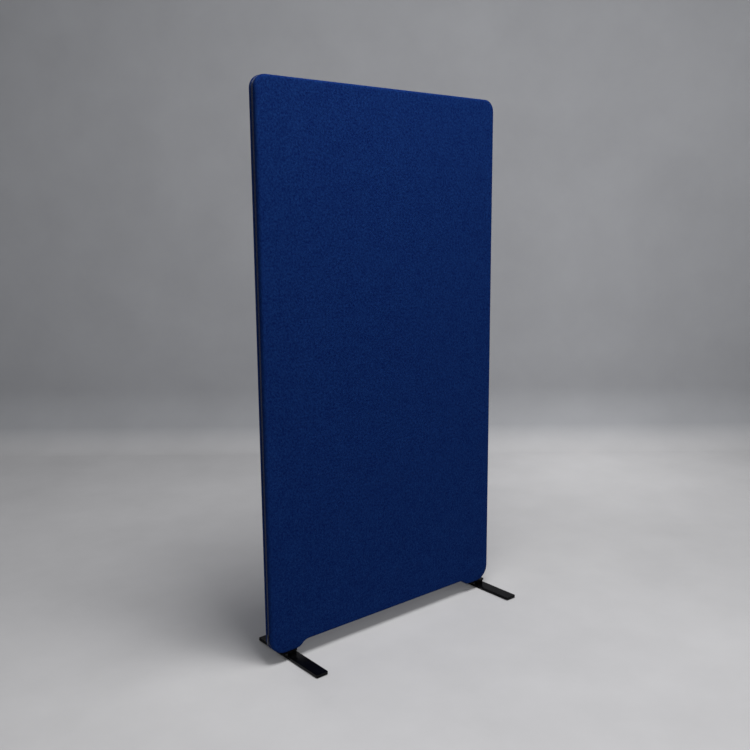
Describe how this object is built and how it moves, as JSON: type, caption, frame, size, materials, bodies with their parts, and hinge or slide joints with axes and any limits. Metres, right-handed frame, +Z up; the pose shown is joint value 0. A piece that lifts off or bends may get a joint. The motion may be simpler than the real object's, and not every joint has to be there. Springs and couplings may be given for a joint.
{
  "type": "acoustic divider screen",
  "caption": "Free-standing acoustic divider: upholstered panel with rounded corners, a zip round its edge, a raised bottom edge and flat steel feet.",
  "frame": {"origin": "on the floor below the middle of the panel, under the glides", "axes": "+X to the right as seen from the front, front face towards -Y, +Z up"},
  "size_m": [1.0042, 0.34, 1.833],
  "materials": {
    "frame_wood": "planed softwood",
    "dowel_wood": "turned beech",
    "absorber": "pressed fibre slab",
    "wadding": "soft white wadding",
    "felt": "matt navy wool felt",
    "zip_tape": "woven tape",
    "zip_coil": "satin coil",
    "zip_metal": "nickel plated",
    "black_steel": "black powder coat, semi-gloss",
    "screw_steel": "zinc plated",
    "insert_metal": "plated",
    "glide_rubber": "matt black"
  },
  "bodies": {
    "screen": {"frame_left_stile": "frame_wood", "frame_right_stile": "frame_wood", "frame_top_rail": "frame_wood", "frame_middle_rail": "frame_wood", "frame_bottom_rail": "frame_wood", "frame_upper_left_corner": "frame_wood", "frame_upper_right_corner": "frame_wood", "frame_lower_left_corner": "frame_wood", "frame_lower_right_corner": "frame_wood", "frame_dowels": "dowel_wood", "upper_core": "absorber", "lower_core": "absorber", "front_pad": "wadding", "rear_pad": "wadding", "front_cover": "felt", "rear_cover": "felt", "bottom_gusset": "felt", "front_zip_tape": "zip_tape", "rear_zip_tape": "zip_tape", "front_zip_coil": "zip_coil", "rear_zip_coil": "zip_coil", "zip_end_stops": "zip_metal", "left_bracket": "black_steel", "right_bracket": "black_steel", "left_bracket_screws": "screw_steel", "right_bracket_screws": "screw_steel", "left_inserts": "insert_metal", "right_inserts": "insert_metal", "left_foot_bar": "black_steel", "right_foot_bar": "black_steel", "left_foot_bolt": "screw_steel", "right_foot_bolt": "screw_steel", "left_glides": "glide_rubber", "right_glides": "glide_rubber"},
    "slider": {"zip_slider": "zip_metal"},
    "pull": {"zip_pull": "zip_metal"}
  },
  "joints": [
    {"name": "zip_slide", "type": "slide", "parent": "screen", "child": "slider", "axis": [0, 0, 1], "range_m": [0, 1.66]},
    {"name": "pull_swing", "type": "hinge", "parent": "slider", "child": "pull", "pos_m": [-0.5023, 0, 0.1], "axis": [0, 1, 0], "range_deg": [0, 175]}
  ]
}
